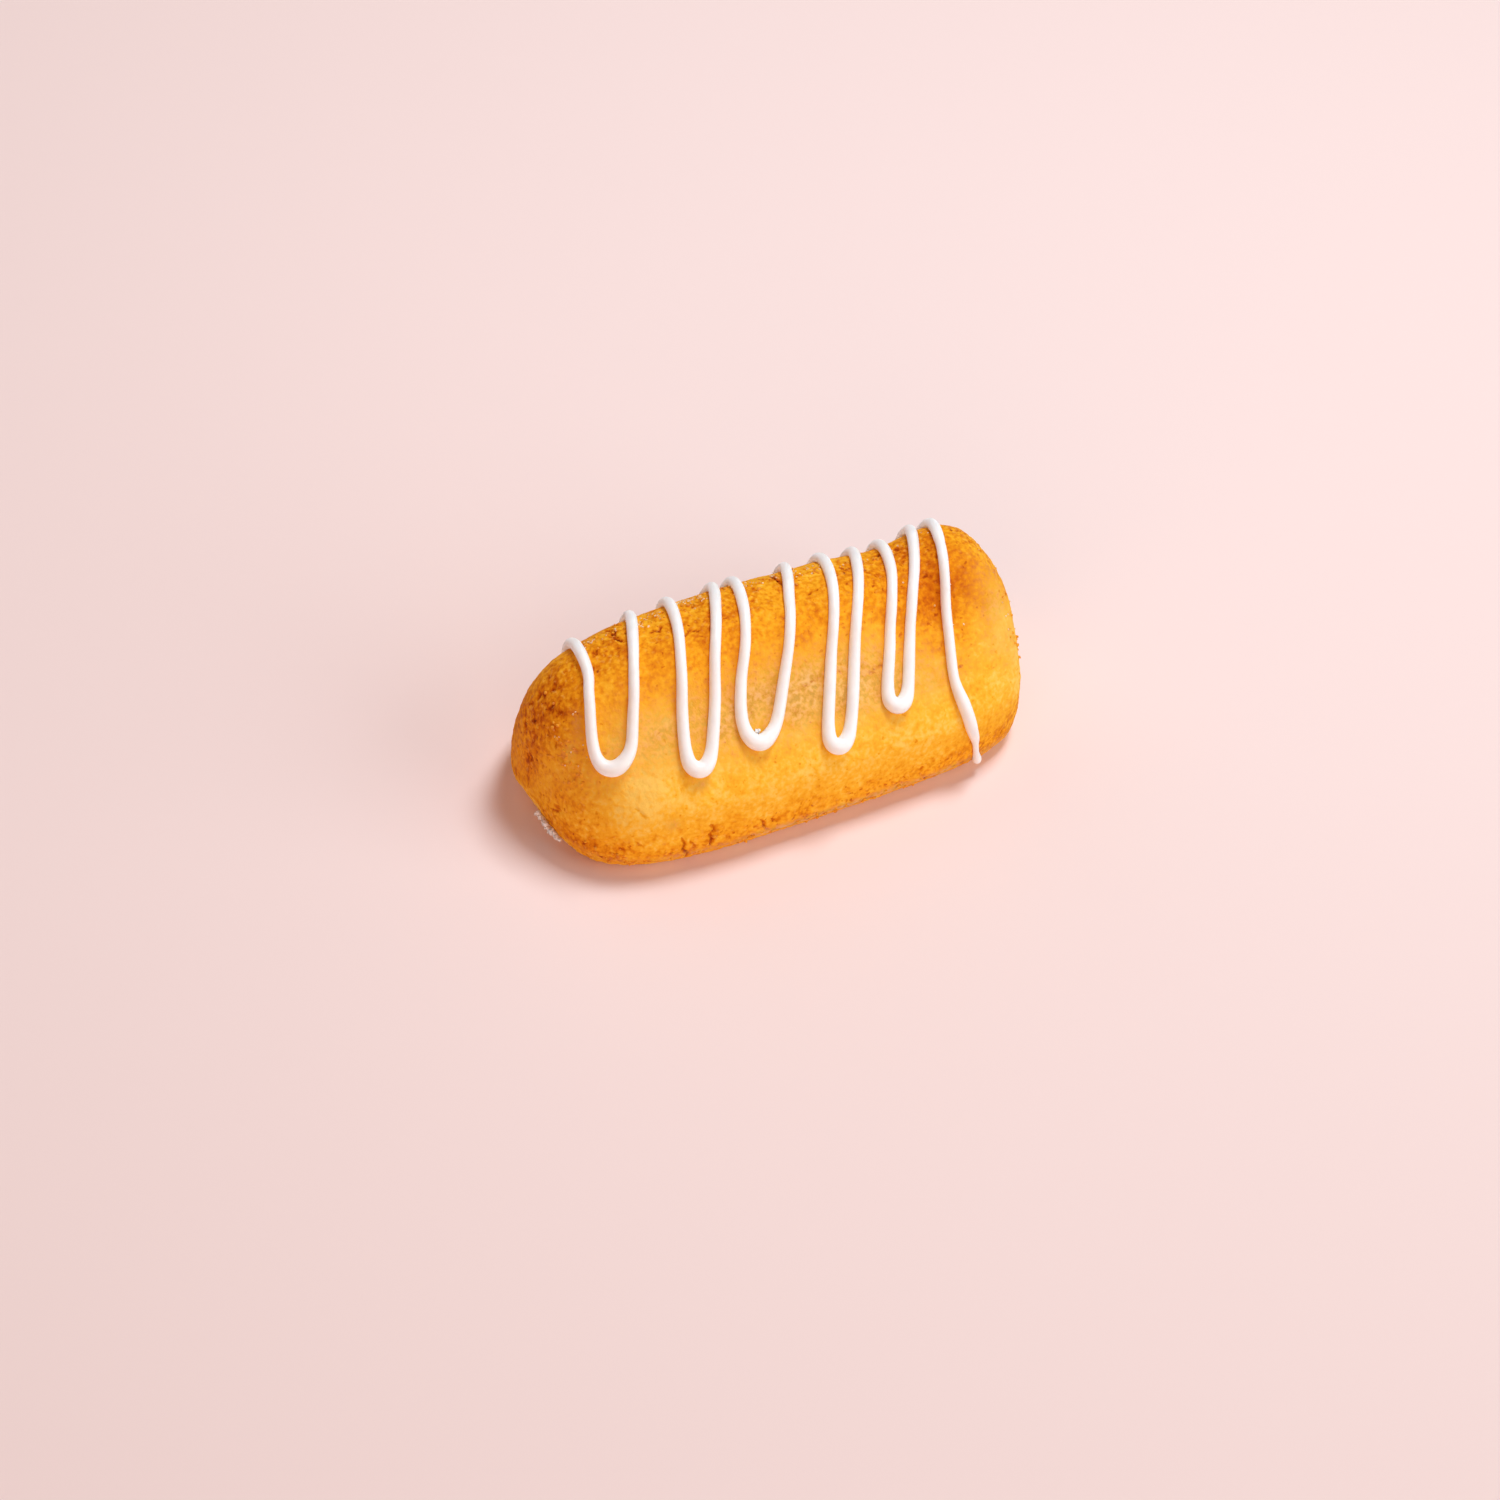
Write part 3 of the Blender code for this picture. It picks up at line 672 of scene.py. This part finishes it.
def icing_thread():
    """The thread as one closed skin: a piped tube whose turns have run together."""
    places = smooth_curve(thread_route(), THREAD_STEP)
    for _ in range(THREAD_SETTLING):
        places[1:-1] = (places[:-2] + 2 * places[1:-1] + places[2:]) / 4
    x, run = places.T
    reach = x / (LENGTH / 2)
    fatness = thread_fatness(x, run)
    centres = crust(reach, run) + THREAD_LIFT * fatness[:, None] * outward(reach, run)
    for from_end, share in enumerate(END_TAPER):
        fatness[[from_end, -1 - from_end]] *= share
    curve = bpy.data.curves.new("piped_tube", "CURVE")
    curve.dimensions = "3D"
    curve.bevel_depth = THREAD_RADIUS
    curve.bevel_resolution = THREAD_BEVEL
    curve.use_fill_caps = True
    spline = curve.splines.new("POLY")
    spline.points.add(len(places) - 1)
    for point, centre, share in zip(spline.points, centres, fatness):
        point.co = (*centre, 1.0)
        point.radius = share
    tube = bpy.data.objects.new("piped_tube", curve)
    bpy.context.scene.collection.objects.link(tube)
    graph = bpy.context.evaluated_depsgraph_get()
    data = bpy.data.meshes.new_from_object(tube.evaluated_get(graph))
    bpy.data.objects.remove(tube)
    thread = bpy.data.objects.new("icing_thread", data)
    bpy.context.scene.collection.objects.link(thread)
    skin = thread.modifiers.new("run_together", "REMESH")
    skin.mode = "VOXEL"
    skin.voxel_size = THREAD_VOXEL
    graph = bpy.context.evaluated_depsgraph_get()
    thread.data = bpy.data.meshes.new_from_object(thread.evaluated_get(graph))
    thread.modifiers.clear()
    mesh = bmesh.new()
    mesh.from_mesh(thread.data)
    for _ in range(SKIN_SMOOTHING):
        bmesh.ops.smooth_vert(mesh, verts=mesh.verts, factor=0.5,
                              use_axis_x=True, use_axis_y=True, use_axis_z=True)
    mesh.to_mesh(thread.data)
    mesh.free()
    thread.data.name = "icing_thread"
    thread.data.shade_smooth()
    return thread


# The icing's finish: its patterns in cells to the metre, its whites, and how far light
# strays in it.
SUGAR_CELLS = 500.0
SKIN_CELLS = 1400.0
ICING_COLOURS = ((0.30, "#F2F0EF"), (0.70, "#F8F7F6"))
LIGHT_STRAY = 0.0009


def royal_icing():
    """Dried royal icing: bright white, satin, a little translucent, with a faint skin."""
    material = bpy.data.materials.new("royal_icing")
    material.use_nodes = True
    tree = material.node_tree
    place = add_node(tree, "ShaderNodeTexCoord").outputs["Object"]
    # Patches of 1 to 2 mm where the sugar set unevenly, a little whiter and less glossy.
    cloud = add_node(tree, "ShaderNodeTexNoise", None,
                     {"Vector": place, "Scale": SUGAR_CELLS, "Detail": 2.0}).outputs["Fac"]
    ramp = add_node(tree, "ShaderNodeValToRGB", None, {"Fac": cloud})
    colour_stops(ramp.color_ramp, ICING_COLOURS)
    shader = tree.nodes["Principled BSDF"]
    tree.links.new(ramp.outputs["Color"], shader.inputs["Base Color"])
    rough = add_node(tree, "ShaderNodeMapRange", None,
                     {"Value": cloud, "From Min": 0.3, "From Max": 0.7,
                      "To Min": 0.34, "To Max": 0.46}).outputs["Result"]
    tree.links.new(rough, shader.inputs["Roughness"])
    shader.inputs["Subsurface Weight"].default_value = 0.5
    shader.inputs["Subsurface Radius"].default_value = (1.0, 0.9, 0.8)
    shader.inputs["Subsurface Scale"].default_value = LIGHT_STRAY
    # Faint wrinkles of about 0.4 mm in the skin, from drying.
    skin = add_node(tree, "ShaderNodeTexNoise", None,
                    {"Vector": place, "Scale": SKIN_CELLS, "Detail": 2.0}).outputs["Fac"]
    bump = add_node(tree, "ShaderNodeBump", None,
                    {"Height": skin, "Strength": 0.35, "Distance": 0.00005}).outputs["Normal"]
    tree.links.new(bump, shader.inputs["Normal"])
    return material


thread = icing_thread()
icing_finish = royal_icing()
thread.data.materials.append(icing_finish)
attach(thread, "root")
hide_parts(NODE)


# ---- Sugar grains ----------------------------------------------------------
# Sugar that didn't dissolve and baked onto the crust: single crystals, half sunk in it,
# most of them along the ridge, with a few at the ends and in the finger dent.
GRAIN_SEED = 5
GRAIN_SIZES = (0.00013, 0.00028)
GRAIN_LIFT = 0.15            # how far a grain's centre stands off the crust, of its size
FARTHEST_REACH = 0.995       # nothing lies nearer the tips than this share of the length
CLUSTER_SPREAD = 0.6
# Clusters: (x, run, reach along x, reach along the run), all in mm, and how many grains.
GRAIN_CLUSTERS = ((-10.0, -3.8, 20.0, 1.4, 80), (-12.2, -5.4, 2.8, 0.9, 60),
                  (-19.0, -4.0, 2.4, 1.6, 26), (-28.3, -4.6, 0.6, 0.7, 8),
                  (16.0, -3.6, 12.0, 1.4, 24), (24.0, 8.0, 4.0, 5.0, 6),
                  (-36.2, 8.0, 1.8, 8.0, 9), (36.0, 9.0, 1.8, 8.0, 8))


def on_crust(x, run):
    """Points and normals of the finished crust at these places."""
    reach = np.clip(x / (LENGTH / 2), -FARTHEST_REACH, FARTHEST_REACH)
    points = crust(reach, run)
    normals = outward(reach, run)
    return points + crumb(points, x, run)[0][:, None] * normals, normals


def scattered(draw, clusters):
    """Points and normals on the crust, strewn in clusters."""
    x, run = np.hstack([(at + wide * draw.uniform(-1.0, 1.0, count),
                         down + tall * draw.normal(0.0, CLUSTER_SPREAD, count))
                        for at, down, wide, tall, count in clusters]) / 1000
    return on_crust(x, run)


def sugar_grains():
    draw = np.random.default_rng(GRAIN_SEED)
    mesh = bmesh.new()
    for point, normal in zip(*scattered(draw, GRAIN_CLUSTERS)):
        size = draw.uniform(*GRAIN_SIZES, 3)
        turn = Euler(draw.uniform(0.0, np.pi, 3))
        centre = Vector(point + GRAIN_LIFT * size.mean() * normal)
        place = Matrix.LocRotScale(centre, turn, Vector(size))
        bmesh.ops.create_cube(mesh, size=1.0, matrix=place)
    return mesh


def finished(name, mesh, material):
    """Makes the mesh a finished piece that stands in for the bar's solid."""
    data = bpy.data.meshes.new(name)
    mesh.to_mesh(data)
    mesh.free()
    data.materials.append(material)
    piece = bpy.data.objects.new(name, data)
    bpy.context.scene.collection.objects.link(piece)
    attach(piece, "root")
    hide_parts(NODE)
    return piece


SYRUP_CELLS = 1700.0         # to the metre
SUGAR_COLOURS = ((0.38, "#E9B568"), (0.62, "#F8DDB4"))


def sugar_crystal():
    """Sugar crystals: pale and satin, they stand out as light points on the matte crust."""
    material = bpy.data.materials.new("sugar_crystals")
    material.use_nodes = True
    tree = material.node_tree
    place = add_node(tree, "ShaderNodeTexCoord").outputs["Object"]
    # Each grain of 0.3 mm takes up its own share of the crust's golden syrup.
    cloud = add_node(tree, "ShaderNodeTexNoise", None,
                     {"Vector": place, "Scale": SYRUP_CELLS, "Detail": 0.0}).outputs["Fac"]
    ramp = add_node(tree, "ShaderNodeValToRGB", None, {"Fac": cloud})
    colour_stops(ramp.color_ramp, SUGAR_COLOURS)
    shader = tree.nodes["Principled BSDF"]
    tree.links.new(ramp.outputs["Color"], shader.inputs["Base Color"])
    shader.inputs["Roughness"].default_value = 0.45
    shader.inputs["Specular IOR Level"].default_value = 0.3
    return material


finished("sugar_grains", sugar_grains(), sugar_crystal())


# ---- Crust crumbs ----------------------------------------------------------
# Crumbs of the same paste that came loose where the bar was pinched, handled and cracked,
# and baked on where they stuck: along the ridge, round both ends and along the heel.
CRUMB_SEED = 11
CRUMB_SIZES = (0.00028, 0.00060)
CRUMB_LIFT = 0.1             # how far a crumb's centre stands off the crust, of its size
CRUMB_ROUNDNESS = 2
# A crumb's length each way, as shares of its size, and the unevenness of its surface: how
# high it is, as a share of the size, and how many bumps there are to the size.
LUMP_SEED = 7
LUMP_STRETCH = (0.75, 1.25)
LUMP_HEIGHT = 0.22
LUMP_COUNT = 1.4
# Clusters, in the form of the grains' clusters.
CRUMB_CLUSTERS = ((-12.0, -4.0, 18.0, 1.8, 60), (-22.9, -6.0, 0.8, 0.5, 5),
                  (14.0, -3.0, 12.0, 1.8, 26), (-37.2, 12.0, 1.4, 12.0, 28),
                  (36.8, 12.0, 1.6, 11.0, 16), (-33.0, 36.0, 4.0, 2.0, 16),
                  (-6.0, 36.8, 26.0, 0.9, 44), (-18.6, 34.4, 0.3, 0.5, 3))
noise.seed_set(LUMP_SEED)    # without it the lumps would differ from run to run


def add_lump(mesh, draw, centre, size, roundness):
    """An uneven lump about this large; `roundness` is the number of subdivisions."""
    stretch = Vector(draw.uniform(*LUMP_STRETCH, 3)) * size
    spot = Matrix.LocRotScale(Vector(centre), Euler(draw.uniform(0.0, np.pi, 3)), stretch)
    made = bmesh.ops.create_icosphere(mesh, subdivisions=roundness, radius=0.5, matrix=spot)
    for vert in made["verts"]:
        vert.co += noise.noise_vector(vert.co * LUMP_COUNT / size) * size * LUMP_HEIGHT


def crust_crumbs():
    draw = np.random.default_rng(CRUMB_SEED)
    mesh = bmesh.new()
    for point, normal in zip(*scattered(draw, CRUMB_CLUSTERS)):
        size = draw.uniform(*CRUMB_SIZES)
        add_lump(mesh, draw, point + CRUMB_LIFT * size * normal, size, CRUMB_ROUNDNESS)
    return mesh


crumbs = finished("crust_crumbs", crust_crumbs(), bar_mesh.materials[0])
crumbs.data.shade_smooth()
# What the crust's material reads on the crumbs, which have no place on the bar's skin.
CRUMB_FINISH = (("browning_and_shading", 0.42), ("coarse", 0.6), ("hollow", 0.0), ("bloom_and_sheen", 0.15))
for layer_name, value in CRUMB_FINISH:
    add_layer(crumbs.data, layer_name, np.full(len(crumbs.data.vertices), value))


# ---- Icing crumbs ----------------------------------------------------------
# Dried icing that broke off an earlier thread and stuck at the foot of the left end, and
# one crumb that fell into the third loop.
ICING_CRUMB_SEED = 3
ICING_CRUMB_ROUNDNESS = 3
# The crumbs at the foot: (x, y, z, size), all in mm.
ICING_CRUMBS = ((-38.9, -3.4, 2.9, 0.95), (-38.8, -4.0, 2.5, 0.75), (-39.0, -5.3, 3.3, 0.65),
                (-39.1, -5.9, 3.4, 0.85), (-39.0, -6.5, 3.3, 0.95), (-38.9, -7.1, 3.1, 0.80),
                (-38.7, -7.6, 2.9, 1.00), (-38.5, -8.2, 2.8, 0.95), (-38.4, -8.7, 2.6, 0.80),
                (-38.2, -9.3, 2.6, 0.55), (-38.8, -6.9, 2.7, 0.60), (-39.1, -3.7, 3.4, 0.50))
CRUMB_SPLINTERS = 3          # smaller bits stuck to each crumb at the foot
SPLINTER_SIZES = (0.25, 0.50)
SPLINTER_DISTANCE = 0.5      # from the crumb's centre, of its size
SPLINTER_ROUNDNESS = 2
# The crumb in the loop is two lumps side by side: x, run and size, how far each lies from
# the middle and how far it stands off the crust, of its size.
LOOP_CRUMB = (-0.0095, 0.0191, 0.00062)
LOOP_CRUMB_ASIDE = 0.25
LOOP_CRUMB_LIFT = 0.2


def icing_crumbs():
    draw = np.random.default_rng(ICING_CRUMB_SEED)
    mesh = bmesh.new()
    for place_and_size in ICING_CRUMBS:
        *centre, size = np.array(place_and_size) / 1000
        add_lump(mesh, draw, centre, size, ICING_CRUMB_ROUNDNESS)
        for _ in range(CRUMB_SPLINTERS):
            aside = draw.normal(0.0, 1.0, 3)
            aside *= SPLINTER_DISTANCE * size / np.linalg.norm(aside)
            add_lump(mesh, draw, centre + aside, size * draw.uniform(*SPLINTER_SIZES),
                     SPLINTER_ROUNDNESS)
    x, run, size = LOOP_CRUMB
    both = np.array([-LOOP_CRUMB_ASIDE, LOOP_CRUMB_ASIDE]) * size
    points, normals = on_crust(x + both, np.array([run, run]))
    for point in points + LOOP_CRUMB_LIFT * size * normals:
        add_lump(mesh, draw, point, size, ICING_CRUMB_ROUNDNESS)
    return mesh


finished("icing_crumbs", icing_crumbs(), icing_finish).data.shade_smooth()


# ---- Floor, light and camera -----------------------------------------------
# A plain pale floor, a soft light high on the right and a little behind, a wide one low
# in front on the right, warm light that the room throws back from the left, weak light
# from behind, and the camera where the photograph was taken from.
FLOOR_SIZE = 3.0
FLOOR_DROP = 0.00002         # keeps the floor just clear of the underside
floor_mesh = bmesh.new()
bmesh.ops.create_grid(floor_mesh, x_segments=1, y_segments=1, size=FLOOR_SIZE / 2)
floor_data = bpy.data.meshes.new("floor")
floor_mesh.to_mesh(floor_data)
floor_mesh.free()
# Matte paper: pale and without shine, so that the bar's soft shadow shows on it.
floor_paper = bpy.data.materials.new("matte_paper")
floor_paper.use_nodes = True
paper_shader = floor_paper.node_tree.nodes["Principled BSDF"]
paper_shader.inputs["Base Color"].default_value = srgb("#F4DDD9")
paper_shader.inputs["Roughness"].default_value = 0.9
paper_shader.inputs["Specular IOR Level"].default_value = 0.1
floor_data.materials.append(floor_paper)
floor = bpy.data.objects.new("floor", floor_data)
floor.location.z = -FLOOR_DROP
bpy.context.scene.collection.objects.link(floor)


LIGHT_AIM = (0.0, 0.0, 0.015)
# Each light's name, its direction from the bar, its distance and size in metres, its power
# in watts, and its colour.
LIGHTS = (("window_light", (0.320, 0.115, 0.940), 0.70, 0.22, 3.70, "#EFF9FF"),
          ("front_fill", (0.630, -0.682, 0.375), 1.60, 1.40, 13.9, "#F0FBFF"),
          ("left_bounce", (-0.596, -0.710, 0.375), 1.60, 1.40, 11.8, "#FFD2BC"),
          ("back_bounce", (-0.250, 0.800, 0.545), 1.60, 1.40, 4.8, "#FFF4F2"))


def soft_light(name, direction, distance, size, power, colour):
    """A square soft light that faces the bar."""
    light = bpy.data.lights.new(name, "AREA")
    light.shape = "SQUARE"
    light.size = size
    light.energy = power
    light.color = srgb(colour)[:3]
    lamp = bpy.data.objects.new(name, light)
    aim = Vector(direction).normalized()
    lamp.location = aim * distance + Vector(LIGHT_AIM)
    lamp.rotation_euler = aim.to_track_quat("Z", "Y").to_euler()
    bpy.context.scene.collection.objects.link(lamp)


for light_settings in LIGHTS:
    soft_light(*light_settings)

room = bpy.data.worlds.new("pale_room")
room.use_nodes = True
sky = room.node_tree.nodes["Background"]
sky.inputs["Color"].default_value = srgb("#FFCEB9")
sky.inputs["Strength"].default_value = 0.10
bpy.context.scene.world = room
bpy.context.scene.view_settings.view_transform = "Standard"

CAMERA_PLACE = (-0.2299, -0.3672, 0.4269)
CAMERA_TURN = (45.08, -4.41, -27.51)     # degrees about x, y and z
camera_data = bpy.data.cameras.new("camera")
camera_data.sensor_width = 36.0
camera_data.lens = 96.0
camera_data.clip_start = 0.01
camera_data.clip_end = 10.0
camera = bpy.data.objects.new("camera", camera_data)
camera.location = CAMERA_PLACE
camera.rotation_euler = Euler(tuple(np.radians(CAMERA_TURN)), "XYZ")
bpy.context.scene.collection.objects.link(camera)
bpy.context.scene.camera = camera
